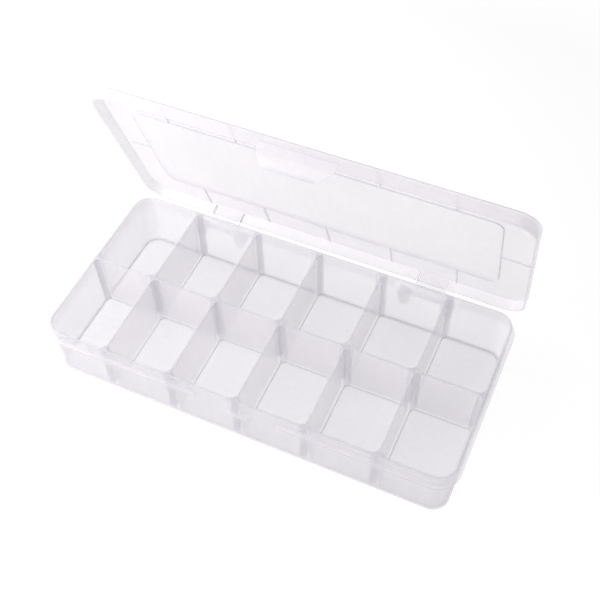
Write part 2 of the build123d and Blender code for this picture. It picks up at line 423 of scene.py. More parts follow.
# ---------------------------------------- finishes
@dataclass(frozen=True)
class Wiring:
    """Node tree that nodes are added to and joined in."""

    tree: bpy.types.NodeTree

    def node(
        self, kind: str, values: dict[str | int, object], **settings: object
    ) -> bpy.types.NodeOutputs:
        """Adds a node.

        Args:
            kind: Blender's type of the node.
            values: A socket or a plain value for each input, by its name or place.
            settings: Settings of the node itself.

        Returns:
            The node's outputs.
        """
        made = self.tree.nodes.new(kind)
        for name, value in settings.items():
            setattr(made, name, value)
        self.feed(made, values)
        return made.outputs

    def feed(self, node: bpy.types.Node, values: dict[str | int, object]) -> None:
        """Gives a node its inputs.

        Args:
            node: The node.
            values: A socket or a plain value for each input, by its name or place.
        """
        for name, value in values.items():
            if isinstance(value, Socket):
                self.tree.links.new(value, node.inputs[name])
            else:
                node.inputs[name].default_value = value

    def maths(self, operation: str, *values: Socket | float) -> Socket:
        """Result of a Math node on sockets or plain numbers."""
        return self.node("ShaderNodeMath", dict(enumerate(values)), operation=operation)["Value"]

    def weighed(self, start: Socket | float, *terms: tuple[Socket, float]) -> Socket:
        """Adds sockets to a start, each by its weight.

        Args:
            start: Socket or number to start from.
            terms: Sockets with their weights.

        Returns:
            The sum.
        """
        for socket, weight in terms:
            start = self.maths("MULTIPLY_ADD", socket, weight, start)
        return start

    def noise(self, place: Socket, scale: Socket | float, detail: float) -> Socket:
        """Noise from 0 to 1 over some coordinates, at a scale and with some octaves."""
        values = {"Vector": place, "Scale": scale, "Detail": detail}
        return self.node("ShaderNodeTexNoise", values)["Fac"]


class FrostGroup:
    """Node group for moulded clear plastic: melt flow, fine frost, draw marks and haze."""

    NAME = "moulded_frost"
    VALUES = ("Bulk", "Thin Haze", "Deep Haze", "Base Roughness", "Grain Scale", "Flow Scale")
    COLOURS = ("Thin Tint", "Deep Tint")
    OUTPUTS = ("Roughness", "Alpha", "Height")
    FLOW_DETAIL = 3.0
    GRAIN_DETAIL = 2.0
    MARK_DETAIL = 1.0
    MARK_SCALE = (260.0, 260.0, 14.0)  # fine across the walls, long in the mould's draw
    TINT_BY_BULK, TINT_BY_FLOW = 0.85, 0.3
    HAZE_START, HAZE_BY_FLOW, HAZE_BY_MARKS = 0.88, 0.16, 0.08
    ROUGHNESS_BY_GRAIN, ROUGHNESS_BY_MARKS = 0.14, 0.08
    HEIGHT_BY_FLOW, HEIGHT_BY_MARKS = 3.0, 0.8

    def tree(self) -> bpy.types.NodeTree:
        """The group's tree, built the first time."""
        return bpy.data.node_groups.get(self.NAME) or self.built()

    def built(self) -> bpy.types.NodeTree:
        """Builds the group.

        Returns:
            The new node tree.
        """
        tree = bpy.data.node_groups.new(self.NAME, "ShaderNodeTree")
        for side, kind, names in (
            ("INPUT", "NodeSocketFloat", self.VALUES),
            ("INPUT", "NodeSocketColor", self.COLOURS),
            ("OUTPUT", "NodeSocketColor", ("Color",)),
            ("OUTPUT", "NodeSocketFloat", self.OUTPUTS),
        ):
            for name in names:
                tree.interface.new_socket(name, in_out=side, socket_type=kind)
        wires = Wiring(tree)
        given = wires.node("NodeGroupInput", {})
        place = wires.node("ShaderNodeTexCoord", {})["Object"]
        flow = wires.noise(place, given["Flow Scale"], self.FLOW_DETAIL)
        grain = wires.noise(place, given["Grain Scale"], self.GRAIN_DETAIL)
        drawn = {"Vector": place, "Scale": self.MARK_SCALE}
        drawn_place = wires.node("ShaderNodeMapping", drawn)["Vector"]
        marks = wires.noise(drawn_place, 1.0, self.MARK_DETAIL)

        depth = wires.maths("MULTIPLY", given["Bulk"], self.TINT_BY_BULK)
        depth = wires.weighed(depth, (flow, self.TINT_BY_FLOW))
        tints = {"Factor": depth, "A": given["Thin Tint"], "B": given["Deep Tint"]}
        hazes = {"Factor": given["Bulk"], "A": given["Thin Haze"], "B": given["Deep Haze"]}
        haze = wires.node("ShaderNodeMix", hazes)["Result"]
        terms = (flow, self.HAZE_BY_FLOW), (marks, self.HAZE_BY_MARKS)
        uneven = wires.weighed(self.HAZE_START, *terms)
        terms = (grain, self.ROUGHNESS_BY_GRAIN), (marks, self.ROUGHNESS_BY_MARKS)
        rough = wires.weighed(given["Base Roughness"], *terms)
        terms = (flow, self.HEIGHT_BY_FLOW), (marks, self.HEIGHT_BY_MARKS)
        results = {
            "Color": wires.node("ShaderNodeMix", tints, data_type="RGBA")["Result"],
            "Roughness": rough,
            "Alpha": wires.maths("MULTIPLY", haze, uneven),
            "Height": wires.weighed(grain, *terms),
        }
        wires.node("NodeGroupOutput", results)
        return tree


@dataclass(frozen=True)
class FrostedPlastic:
    """Clear moulded plastic with a faint frost; its haze grows with the bulk it is seen through."""

    name: str
    thin_tint: Colour
    deep_tint: Colour
    thin_haze: float
    deep_haze: float
    roughness: float = 0.3
    grain_scale: float = 1100.0
    flow_scale: float = 30.0
    bump: float = 0.15
    relief: float = 0.05
    forward_scatter: float = 0.7
    ior: float = 1.49

    def material(self) -> bpy.types.Material:
        """The material, built the first time."""
        return bpy.data.materials.get(self.name) or self.built()

    def built(self) -> bpy.types.Material:
        """Builds the material.

        Returns:
            A material whose haze reads the bulk drawn on the mesh.
        """
        made = bpy.data.materials.new(self.name)
        made.use_nodes = True
        wires = Wiring(made.node_tree)
        bulk = wires.node("ShaderNodeAttribute", {}, attribute_name=MeshDraft.BULK)["Fac"]
        hazes = (bulk, self.thin_haze, self.deep_haze)
        values = (*hazes, self.roughness, self.grain_scale, self.flow_scale)
        inputs = dict(zip(FrostGroup.VALUES, values))
        for name, tint in zip(FrostGroup.COLOURS, (self.thin_tint, self.deep_tint)):
            inputs[name] = (*tint, 1.0)
        frost = wires.node("ShaderNodeGroup", inputs, node_tree=FrostGroup().tree())
        relief = {
            "Strength": self.bump,
            "Distance": self.relief * MM,
            "Height": frost["Height"],
        }
        shading = {
            "IOR": self.ior,
            "Base Color": frost["Color"],
            "Roughness": frost["Roughness"],
            "Normal": wires.node("ShaderNodeBump", relief)["Normal"],
            "Alpha": self.let_through(wires, frost["Alpha"]),
        }
        wires.feed(made.node_tree.nodes["Principled BSDF"], shading)
        return made

    def let_through(self, wires: Wiring, haze: Socket) -> Socket:
        """Haze that most of the light passes through, because the frost scatters it forwards.

        Args:
            wires: Tree that the nodes go into.
            haze: Haze that the eye sees.

        Returns:
            The same haze for the eye, and a weaker one for the rays that carry light.
        """
        rays = wires.node("ShaderNodeLightPath", {})
        light = wires.maths("MAXIMUM", rays["Is Shadow Ray"], rays["Is Diffuse Ray"])
        return wires.maths("MULTIPLY", haze, wires.weighed(1.0, (light, -self.forward_scatter)))

    def dress(self, piece: Object) -> None:
        """Gives the piece this finish alone."""
        piece.data.materials.clear()
        piece.data.materials.append(self.material())


# Thin haze times its unevenness stays over a quarter: where it crosses that share, the
# denoiser's guides change from the plastic to what lies behind it, and speckles show.
TRAY_PLASTIC = FrostedPlastic(
    "tray_frosted_plastic",
    thin_tint=(0.88, 0.845, 0.885),
    deep_tint=(0.55, 0.55, 0.61),
    thin_haze=0.31,
    deep_haze=0.8,
)
TRAY_THIN_PLASTIC = FrostedPlastic(
    "tray_thin_plastic",
    thin_tint=(0.89, 0.85, 0.89),
    deep_tint=(0.55, 0.55, 0.61),
    thin_haze=0.3,
    deep_haze=0.6,
)
# The lid is the same plastic as the tray, but its tints are lighter: the pinkish hue is the
# plastic's own, the extra lightness is painted light for the brighter light on the open lid.
LID_PLASTIC_PAINTED_LIGHTER = FrostedPlastic(
    "lid_frosted_plastic_painted_lighter",
    thin_tint=(0.945, 0.89, 0.945),
    deep_tint=(0.58, 0.57, 0.63),
    thin_haze=0.32,
    deep_haze=0.8,
)
# Lighter than the tray's thin plastic for the same reason: painted light for the brighter-lit lid,
# over the plastic's own hue.
LID_THIN_PLASTIC_PAINTED_LIGHTER = FrostedPlastic(
    "lid_thin_plastic_painted_lighter",
    thin_tint=(0.99, 0.95, 0.99),
    deep_tint=(0.62, 0.63, 0.72),
    thin_haze=0.3,
    deep_haze=0.7,
)


# ---------------------------------------- mouldings
@dataclass
class Moulding:
    """What the tray and the lid share: finishes, sizes, and how their pieces are declared."""

    plastic: FrostedPlastic
    thin_plastic: FrostedPlastic
    corner_steps: int = 8
    round_steps: int = 4
    columns: int = 6
    cell_length: float = 43.9
    end_cell_length: float = 42.45
    cell_width: float = 60.75
    cell_depth: float = 41.4
    floor: float = 1.6
    rim_wall: float = 1.4
    divider_top: float = 1.1
    wall_draft: float = 1.5
    divider_draft: float = 0.4
    junction_fillet: float = 4.0
    corner_radius: float = 10.6
    ledge_drop: float = 6.3
    ledge_overhang: float = 2.6
    skirt_gap: float = 1.2
    skirt_wall: float = 1.4
    tongue_thickness: float = 1.4
    hinge_spread: float = 150.0
    hinge_drop: float = 15.0

    @property
    def rim_z(self) -> float:
        """Height of the rim."""
        return self.floor + self.cell_depth

    @property
    def inner_x(self) -> float:
        """Half the clear length inside the rim."""
        pitch = self.cell_length + self.divider_top
        return self.end_cell_length + (self.columns / 2 - 1) * pitch + self.divider_top / 2

    @property
    def inner_y(self) -> float:
        """Half the clear width inside the rim."""
        return self.cell_width + self.divider_top / 2

    @property
    def divider_x(self) -> list[float]:
        """Centre planes of the cross dividers."""
        pitch = self.cell_length + self.divider_top
        return [(number - self.columns / 2) * pitch for number in range(1, self.columns)]

    @property
    def ledge_z(self) -> float:
        """Height of the ledge's top."""
        return self.rim_z - self.ledge_drop

    @property
    def rim(self) -> Outline:
        """Outside of the rim."""
        x, y = self.inner_x, self.inner_y
        return Outline(-x, x, -y, y, (self.corner_radius,) * 4).grown(self.rim_wall)

    @property
    def lid(self) -> Outline:
        """Outside of the lid."""
        return self.rim.grown(self.skirt_gap + self.skirt_wall)

    @property
    def hinge_y(self) -> float:
        """Place of the hinge axis, half way through the tongues behind the lid."""
        return self.lid.y_high + self.tongue_thickness / 2

    @property
    def hinge_z(self) -> float:
        """Height of the hinge axis."""
        return self.rim_z - self.hinge_drop

    @property
    def hinge_x(self) -> Flat:
        """Middles of the two hinges."""
        return -self.hinge_spread / 2, self.hinge_spread / 2

    @staticmethod
    def declared(parts: Sequence[Part], body: Body, slot: Slot) -> list[Object]:
        """Args:
            parts: Each piece with its finish and the nodes that it stands for.
            body: Body that they ride on.
            slot: Not used.

        Returns:
            The pieces.
        """
        for piece, finish, nodes in parts:
            finish.dress(piece)
            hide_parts(*nodes)
            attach(piece, body.value)
        return [piece for piece, _, _ in parts]


@dataclass
class Tray(Moulding):
    """Lower moulding: twelve compartments, the ledge, the latch catch and the hinge cradles."""

    base_radius: float = 2.0
    edge_radius: float = 0.35
    floor_fillet: float = 0.6
    fade: float = 0.15
    post_core: float = 2.3
    post_edge: float = 2.9
    foot_height: float = 3.6
    ledge_thickness: float = 2.7
    ledge_chamfer: float = 0.6
    ledge_rounding: float = 0.35
    ledge_root: float = 0.6
    latch_half_gap: float = 26.5
    hinge_half_gap: float = 22.0
    catch_half: float = 8.0
    catch_low: float = 26.9
    catch_land: float = 0.6
    catch_height: float = 2.6
    catch_reach: float = 1.7
    catch_rounding: float = 0.2
    cradle_width: float = 8.0
    cradle_x: float = 14.9
    cradle_bore: float = 1.68
    cradle_radius: float = 3.1
    cradle_rounding: float = 0.2
    cradle_back: float = 148.0
    mouth_half: float = 1.35
    web_drop: float = 5.0
    web_corner: float = 3.0
    web_root: float = 0.3
    web_steps: int = 8
    arc_step: float = 12.0

    @property
    def draft(self) -> float:
        """Inward lean of the outer walls for each millimetre down."""
        return math.tan(math.radians(self.wall_draft))

    def cell(self, column: int, row: int, depth: float) -> Outline:
        """Inside of one compartment.

        Args:
            column: Column, from 0 at the low end of X.
            row: -1 in front, 1 behind.
            depth: Distance below the rim.

        Returns:
            The compartment's outline at that depth.
        """
        wall = depth * self.draft
        side = self.divider_top / 2 + depth * math.tan(math.radians(self.divider_draft))
        first, last = column == 0, column == self.columns - 1
        x_low = wall - self.inner_x if first else self.divider_x[column - 1] + side
        x_high = self.inner_x - wall if last else self.divider_x[column] - side
        y_low, y_high = sorted((row * side, row * (self.inner_y - wall)))
        outer = ((first, -1), (last, -1), (last, 1), (first, 1))
        corner, fillet = self.corner_radius - wall, self.junction_fillet
        radii = tuple(corner if end and row == place else fillet for end, place in outer)
        return Outline(x_low, x_high, y_low, y_high, radii)

    def post_stops(self) -> Stops:
        """Places on the outer walls beside each divider's end, where the plastic gets thick.

        Returns:
            The stops of the front, right, rear and left runs.
        """
        offsets = (-self.post_edge, -self.post_core, self.post_core, self.post_edge)
        along = [middle + offset for middle in self.divider_x for offset in offsets]
        return along, offsets, along[::-1], offsets[::-1]

    def outside_bulks(self, wall: float) -> list[float]:
        """Bulk round the outer wall, thick over each divider's end.

        Args:
            wall: Bulk of the wall itself.

        Returns:
            One value for each point.
        """
        post = [wall, Bulk.POST, Bulk.POST, wall]
        bulks = []
        for stops in self.post_stops():
            bulks += [wall] * (self.corner_steps + 1) + post * (len(stops) // len(post))
        return bulks

    def inside_bulks(self, column: int, row: int, wall: float) -> list[float]:
        """Bulk round a compartment, thick in the fillets beside its dividers.

        Args:
            column: Column, from 0 at the low end of X.
            row: -1 in front, 1 behind.
            wall: Bulk of the walls themselves.

        Returns:
            One value for each point.
        """
        bulks = []
        for radius in self.cell(column, row, 0.0).radii:
            post = Bulk.POST if radius == self.junction_fillet else wall
            bulks += [wall] + [post] * (self.corner_steps - 1) + [wall]
        return bulks

    def lip_bulks(self, column: int) -> list[float]:
        """Bulk round a compartment's upper edge, soft along the cross dividers only.

        Args:
            column: Column, from 0 at the low end of X.

        Returns:
            One value for each point.
        """
        half = self.corner_steps // 2
        along = [Bulk.RIM] * (half + 1)
        left = [Bulk.RIM if column == 0 else Bulk.SOFT] * half
        right = [Bulk.RIM if column == self.columns - 1 else Bulk.SOFT] * half
        return left + along + along + right + right + along + along + left

    def moulding(self) -> Object:
        """The tray in one closed mesh, outside first, then each compartment, then the rim.

        Returns:
            The tray, without its ledge, catch and cradles.
        """
        draft = MeshDraft()
        rims = [(self.outside(draft), self.outside_bulks(Bulk.SOFT))]
        for column, row in product(range(self.columns), (-1, 1)):
            upper = self.compartment(draft, column, row)
            rims.append((upper, self.inside_bulks(column, row, Bulk.SOFT)))
        draft.sheet([[(at, soft) for (at, _), soft in zip(*rim)] for rim in rims])
        return draft.finished("tray_moulding")

    def outside(self, draft: MeshDraft) -> Ring:
        """Draws the outer walls, the rolled base edge and the underside.

        Args:
            draft: Mesh that they are added to.

        Returns:
            The ring at the top, where the rim starts.
        """
        rim, rim_z, base = self.rim, self.rim_z, self.base_radius
        walls = self.outside_bulks(Bulk.FAINT)
        levels = []
        for inward, down in quarter_turn(self.edge_radius, self.round_steps):
            levels.append((rim.grown(down - self.edge_radius), rim_z - inward, Bulk.RIM))
        for depth in (self.edge_radius + self.fade, rim_z - self.foot_height):
            levels.append((rim.grown(-depth * self.draft), rim_z - depth, walls))
        # The rounding is walked upwards, so the underside ends up base_radius above the table.
        for inward, up in reversed(quarter_turn(base, self.round_steps)):
            foot = -(rim_z - base) * self.draft - inward
            levels.append((rim.grown(foot), base - up, Bulk.FAINT))
        levels.append((rim.grown(foot - base), base - up, Bulk.FAINT))
        rings = draft.rings(levels, self.corner_steps, self.post_stops())
        return draft.stack(rings, open_start=True)

    def compartment(self, draft: MeshDraft, column: int, row: int) -> Ring:
        """Draws the inside of one compartment.

        Args:
            draft: Mesh that it is added to.
            column: Column, from 0 at the low end of X.
            row: -1 in front, 1 behind.

        Returns:
            The ring at the top, where the rim starts.
        """
        depth, fillet, edge = self.cell_depth, self.floor_fillet, self.edge_radius
        walls = self.inside_bulks(column, row, Bulk.WALL)
        steps = []
        for inward, along in quarter_turn(edge, self.round_steps):
            steps.append((inward, edge - along, self.lip_bulks(column)))
        steps += [(edge + self.fade, 0.0, walls), (depth - fillet - self.fade, 0.0, walls)]
        for inward, along in quarter_turn(fillet, self.round_steps):
            steps.append((depth - fillet + along, -inward, Bulk.EDGE))
        steps.append((depth, -fillet - self.fade, Bulk.FAINT))
        levels = []
        for down, out, bulk in steps:
            levels.append((self.cell(column, row, down).grown(out), self.rim_z - down, bulk))
        return draft.stack(draft.rings(levels, self.corner_steps), open_start=True)

    def ledge(self) -> Object:
        """The flange that the lid rests on, in three runs, open at the latch and the hinges.

        Returns:
            The flange.
        """
        root, edge = -self.ledge_root, self.ledge_rounding / 2
        reach, top, low = self.ledge_overhang, self.ledge_z, self.ledge_z - self.ledge_thickness
        corners = (
            (root, low, 0.0),
            (reach, low, self.ledge_rounding),
            (reach, top - self.ledge_chamfer, edge),
            (reach - self.ledge_chamfer, top, edge),
            (root, top, 0.0),
        )
        profile = rounded_polygon(corners, self.round_steps)
        stations, arc = self.rim.stations(self.corner_steps), self.corner_steps + 1
        right_side, left_side = stations[arc : 3 * arc], stations[3 * arc :] + stations[:arc]
        front, rear = (self.rim.y_low, 0.0, -1.0), (self.rim.y_high, 0.0, 1.0)
        latch, hinge = self.latch_half_gap, self.hinge_spread / 2
        near, far = hinge - self.hinge_half_gap, hinge + self.hinge_half_gap
        runs = (
            [(latch, *front), *right_side, (far, *rear)],
            [(near, *rear), (-near, *rear)],
            [(-far, *rear), *left_side, (-latch, *front)],
        )
        draft = MeshDraft()
        for run in runs:
            draft.sweep(run, profile, Bulk.WALL)
        return draft.finished("lid_rest_flange")

    def catch(self) -> Object:
        """The wedge on the front wall that the latch tab's lip snaps past.

        Returns:
            The wedge.
        """
        low, edge = self.catch_low, self.catch_rounding
        tip, root = self.rim.y_low - self.catch_reach, -self.inner_y
        corners = (
            (tip, low, edge),
            (root, low, 0.0),
            (root, low + self.catch_height, 0.0),
            (tip, low + self.catch_land, edge),
        )
        profile = rounded_polygon(corners, self.round_steps)
        depths, bulks = (-self.catch_half, self.catch_half), (Bulk.WALL, Bulk.FAINT)
        draft = MeshDraft()
        draft.rounded_plate(profile, along_x, depths, edge, bulks)
        return draft.finished("latch_catch_wedge")

    def cradle_arc(self, radius: float, start: float, end: float) -> list[Flat]:
        """Arc round the hinge axis, seen from the side.

        Args:
            radius: Radius of the arc.
            start: Angle that it starts at, in degrees.
            end: Angle that it ends at.

        Returns:
            Points as Y and Z.
        """
        y, z = self.hinge_y, self.hinge_z
        count = max(2, round(abs(end - start) / self.arc_step))
        turns = [math.radians(start + (end - start) * step / count) for step in range(count + 1)]
        return [(y + radius * math.cos(turn), z + radius * math.sin(turn)) for turn in turns]

    def cradle_profile(self) -> list[Flat]:
        """Side view of a cradle: the web from the wall and the C that the pin snaps into.

        Returns:
            Points as Y and Z, anticlockwise.
        """
        radius, bore, seat_y = self.cradle_radius, self.cradle_bore, self.hinge_y
        low, high = self.hinge_z - radius, self.hinge_z + radius / 2
        root = self.inner_y + self.web_root
        web = []
        for share in (step / self.web_steps for step in range(self.web_steps)):
            web.append((root + (seat_y - root) * share, low - self.web_drop * (1 - share)))
        outer_lip = math.degrees(math.acos(self.mouth_half / radius))
        inner_lip = math.degrees(math.acos(self.mouth_half / bore))
        return [
            *web,
            *self.cradle_arc(radius, -90.0, outer_lip),
            *self.cradle_arc(bore, inner_lip, -180.0 - inner_lip),
            *self.cradle_arc(radius, 180.0 - outer_lip, self.cradle_back),
            (seat_y - radius, high),
            (root, high),
        ]

    def cradle_half(self, z: float) -> float:
        """Half the width of a cradle, narrower in the web's rounded lower corners.

        Args:
            z: Height.

        Returns:
            Half the width at that height.
        """
        half, corner = self.cradle_width / 2, self.web_corner
        corner_z = self.hinge_z - self.cradle_radius - self.web_drop + corner
        if z >= corner_z:
            return half
        return half - corner + math.sqrt(max(corner**2 - (corner_z - z) ** 2, 0.0))

    def cradles(self, name: str, middle: float) -> Object:
        """The two cradles of one hinge.

        Args:
            name: Name of the piece.
            middle: Place of the hinge along X.

        Returns:
            Both cradles in one mesh.
        """
        half = self.cradle_width / 2
        profile, bulks = self.cradle_profile(), (Bulk.WALL, Bulk.SOFT)
        draft = MeshDraft()
        for centre in (middle - self.cradle_x, middle + self.cradle_x):

            def place(y: float, z: float, x: float) -> Point:
                """Point of the cradle, drawn in where its lower corners are rounded."""
                return centre + x * self.cradle_half(z) / half, y, z

            draft.rounded_plate(profile, place, (-half, half), self.cradle_rounding, bulks)
        return draft.finished(name)

    def build(self) -> list[Object]:
        """Returns:
            The pieces that were drawn.
        """
        nodes = ["tray_shell", "long_divider"]
        for row in ("front", "rear"):
            nodes += [f"{row}_divider_{number}" for number in range(1, self.columns)]
        parts = [
            (self.moulding(), self.plastic, nodes),
            (self.ledge(), self.thin_plastic, ["lid_ledge"]),
            (self.catch(), self.thin_plastic, ["latch_catch"]),
        ]
        for side, middle in zip(SIDES, self.hinge_x):
            cradles = self.cradles(f"{side}_snap_cradles", middle)
            parts.append((cradles, self.thin_plastic, [f"{side}_hinge_cradles"]))
        return self.declared(parts, Body.TRAY, Slot.TRAY)


@dataclass
class Lid(Moulding):
    """Upper moulding, drawn closed and then swung open: plate, skirt, ribs, latch and hinges."""

    thickness: float = 1.2
    edge_radius: float = 0.9
    panel_gap: float = 0.2
    panel_step: float = 0.8
    panel_margin: float = 20.0
    panel_hinge_margin: float = 24.0
    panel_corner: float = 7.0
    skirt_lift: float = 0.2
    soft_edge: float = 0.25
    inner_fillet: float = 0.5
    rib_width: float = 0.9
    rib_sink: float = 0.3
    rib_lift: float = 0.05
    slit_width: float = 0.8
    tongue_width: float = 20.3
    tongue_corner: float = 0.8
    pin_radius: float = 1.6
    pin_half: float = 19.5
    pin_chamfer: float = 0.3
    pin_sides: int = 24
    seam: float = 0.02
    tab_half: float = 24.0
    tab_end_half: float = 17.0
    tab_thickness: float = 1.2
    tab_root: float = 4.0
    tab_shoulder: float = 3.0
    tab_drop: float = 12.0
    tab_corner: float = 4.0
    tab_bevel: float = 0.8
    lip_half: float = 15.0
    lip_height: float = 1.8
    lip_depth: float = 0.8
    lip_root: float = 0.4
    lip_rounding: float = 0.3

    @property
    def panel_z(self) -> float:
        """Underside of the stepped panel, lid closed."""
        return self.rim_z + self.panel_gap

    @property
    def plate_z(self) -> float:
        """Underside of the margin, lid closed."""
        return self.panel_z + self.panel_step

    @property
    def skirt_z(self) -> float:
        """Free edge of the skirt, lid closed."""
        return self.ledge_z + self.skirt_lift

    @property
    def tab_z(self) -> float:
        """Free end of the latch tab, lid closed."""
        return self.skirt_z - self.tab_drop

    @property
    def inner(self) -> Outline:
        """Inside of the skirt."""
        return self.lid.grown(-self.skirt_wall)

    @property
    def panel(self) -> Outline:
        """Edge of the stepped panel, seen from inside.

        Returns:
            Its outline, nearer to the front than to the hinges.
        """
        half_x, half_y = self.lid.x_high - self.panel_margin, self.lid.y_high
        y_low, y_high = self.panel_margin - half_y, half_y - self.panel_hinge_margin
        return Outline(-half_x, half_x, y_low, y_high, (self.panel_corner,) * 4)

    def slit_stops(self) -> list[float]:
        """Places of the slits' edges on the rear run.

        Returns:
            The edges along X, highest first.
        """
        stops = []
        for middle in self.hinge_x:
            for side in (-1, 1):
                near = middle + side * self.tongue_width / 2
                stops += [near, near + side * self.slit_width]
        return sorted(stops, reverse=True)

    def front_edge_bulks(self) -> list[float]:
        """Bulk round the plate's edge, solid along the front only.

        Returns:
            One value for each point.
        """
        half = self.corner_steps // 2
        first, second = [Bulk.SOFT] * half, [Bulk.RIM] * (self.corner_steps + 1 - half)
        rest = 2 * (self.corner_steps + 1) + len(self.slit_stops())
        return first + second + second + first + [Bulk.SOFT] * rest

    def outer_levels(self) -> list[Level]:
        """Levels of the cap's outside.

        Returns:
            Levels from the recess on top to the slits' upper ends.
        """
        outer, soft, edge = self.lid, self.soft_edge, self.edge_radius
        recess = self.panel.grown(-self.thickness)
        top = self.plate_z + self.thickness
        low = top - self.panel_step
        levels = [
            (recess.grown(-soft - self.seam), low, Bulk.WALL),
            *small_rounding(recess, low, -soft, soft, Bulk.FAINT),
            *reversed(small_rounding(recess, top, soft, -soft, Bulk.FAINT)[1:]),
            (recess.grown(soft), top, Bulk.WALL),
            (outer.grown(-edge - soft), top, Bulk.WALL),
        ]
        for inward, down in quarter_turn(edge, self.round_steps):
            levels.append((outer.grown(down - edge), top - inward, self.front_edge_bulks()))
        return [*levels, (outer, self.plate_z, Bulk.WALL)]

    def skirt_levels(self) -> list[Level]:
        """Levels of the skirt.

        Returns:
            Levels down the outside and up the inside, to the inner fillet.
        """
        outer, inner, soft, free = self.lid, self.inner, self.soft_edge, self.skirt_z
        return [
            (outer, free + 2 * soft, Bulk.WALL),
            *reversed(small_rounding(outer, free, -soft, soft, Bulk.SOFT)),
            *small_rounding(inner, free, soft, soft, Bulk.SOFT),
            (inner, free + 2 * soft, Bulk.WALL),
            (inner, self.plate_z - self.inner_fillet, Bulk.WALL),
        ]

    def under_levels(self) -> list[Level]:
        """Levels of the cap's underside.

        Returns:
            Levels from the skirt's inner fillet to the stepped panel.
        """
        inner, panel, soft, fillet = self.inner, self.panel, self.soft_edge, self.inner_fillet
        levels = []
        for inward, up in quarter_turn(fillet, self.round_steps)[1:]:
            levels.append((inner.grown(-inward), self.plate_z - fillet + up, Bulk.WALL))
        return [
            *levels,
            (panel.grown(2 * soft), self.plate_z, Bulk.WALL),
            (panel.grown(soft), self.plate_z, Bulk.RIM),
            (panel, self.plate_z - soft, Bulk.RIM),
            *reversed(small_rounding(panel, self.panel_z, -soft, soft, Bulk.RIM)),
            (panel.grown(-2 * soft), self.panel_z, Bulk.WALL),
        ]

    def cap(self) -> Object:
        """The plate and the skirt in one closed mesh, slit beside both hinge tongues.

        Returns:
            The cap, drawn closed.
        """
        draft = MeshDraft()
        slit_stops = self.slit_stops()
        outside, skirt = self.outer_levels(), self.skirt_levels()
        levels = (*outside, *skirt, *self.under_levels())
        rings = draft.rings(levels, self.corner_steps, ((), (), slit_stops, ()))
        first_stop = 3 * (self.corner_steps + 1)  # the rear run follows the third corner
        slits = {first_stop + number for number in range(0, len(slit_stops), 2)}
        start = len(outside) - 1
        end = start + len(skirt)
        for number, (first, second) in enumerate(zip(rings, rings[1:])):
            draft.bridge(first, second, skipped=slits if start <= number < end else ())
        draft.add_face(rings[0])
        draft.add_face(rings[-1])
        cut = rings[start : end + 1]
        for place in slits:
            sides = [[ring[side] for ring in cut] for side in (place, place + 1)]
            roof = [cut[0][place], cut[0][place + 1], cut[-1][place + 1], cut[-1][place]]
            for face in (*sides, roof):
                draft.add_face([(number, Bulk.EDGE) for number, _ in face])
        return draft.finished("lid_cap")

    def ribs(self) -> Object:
        """Short ribs across the margin, over the end of every divider.

        Returns:
            The ribs in one mesh.
        """
        half, sink, lift = self.rib_width / 2, self.rib_sink, self.rib_lift
        low, high = (-half, self.panel_z + lift), (half, self.plate_z + sink)
        radii = (self.soft_edge, self.soft_edge, 0.0, 0.0)
        profile = rounded_rectangle(low, high, radii, self.round_steps)
        panel, skirt = self.panel, self.inner
        draft = MeshDraft()
        bulks = (Bulk.WALL, Bulk.SOFT)
        for side, panel_y in ((-1, panel.y_low), (1, panel.y_high)):
            depths = sorted((panel_y - side * sink, side * (skirt.y_high + sink)))
            for middle in self.divider_x:
                draft.rounded_plate(profile, along_y(middle), depths, lift, bulks)
            depths = sorted((side * (panel.x_high - sink), side * (skirt.x_high + sink)))
            draft.rounded_plate(profile, along_x, depths, lift, bulks)
        return draft.finished("lid_margin_ribs")

    def tab_outline(self, top: float, bottom: float, inset: float) -> list[Flat]:
        """Front view of the latch tab at one depth.

        Args:
            top: Height of the tab's upper end.
            bottom: Height of its free end.
            inset: How far the outline is drawn in.

        Returns:
            Points of the outline, anticlockwise.
        """
        half, corner, shoulder = self.tab_half, self.tab_corner, self.skirt_z - self.tab_shoulder
        rise = (bottom - self.tab_z) / (shoulder - self.tab_z)
        end_half = self.tab_end_half + (half - self.tab_end_half) * rise
        corners = (
            (-end_half, bottom, corner),
            (end_half, bottom, corner),
            (half, shoulder, corner),
            (half, top, 0.0),
            (-half, top, 0.0),
            (-half, shoulder, corner),
        )
        return drawn_in(rounded_polygon(corners, self.corner_steps), inset)

    def tab(self) -> Object:
        """The springy latch tab with its bevelled end and the lip behind it.

        Returns:
            The tab, drawn closed.
        """
        front, soft, bevel, end = self.lid.y_low, self.soft_edge, self.tab_bevel, self.tab_z
        back, face = front - self.seam, front - self.tab_thickness
        root = self.skirt_z + self.tab_root
        top, tip = root - self.tab_thickness, end + 2 * bevel
        slices = (
            (back, root, end, soft / 2, Bulk.WALL),
            (back - soft / 2, root, end, 0.0, Bulk.FAINT),
            (face + bevel, top + bevel, end, 0.0, Bulk.FAINT),
            (face + soft, top, tip - 2 * soft, 0.0, Bulk.FAINT),
            (face, top, tip, soft, Bulk.WALL),
        )
        draft = MeshDraft()
        rings = []
        for y, high, low, inset, bulk in slices:
            outline = self.tab_outline(high, low, inset)
            bulks = [Bulk.WALL if z > self.skirt_z else bulk for _, z in outline]
            rings.append(draft.ring([(x, y, z) for x, z in outline], bulks))
        draft.stack(rings)
        low = (back - self.lip_root, end + self.lip_rounding / 2)
        high = (front + self.lip_depth, end + self.lip_height)
        radii = (0.0, self.lip_rounding, self.lip_rounding, 0.0)
        lip = rounded_rectangle(low, high, radii, self.round_steps)
        depths, bulks = (-self.lip_half, self.lip_half), (Bulk.POST, Bulk.POST)
        draft.rounded_plate(lip, along_x, depths, soft, bulks)
        return draft.finished("latch_snap_tab")

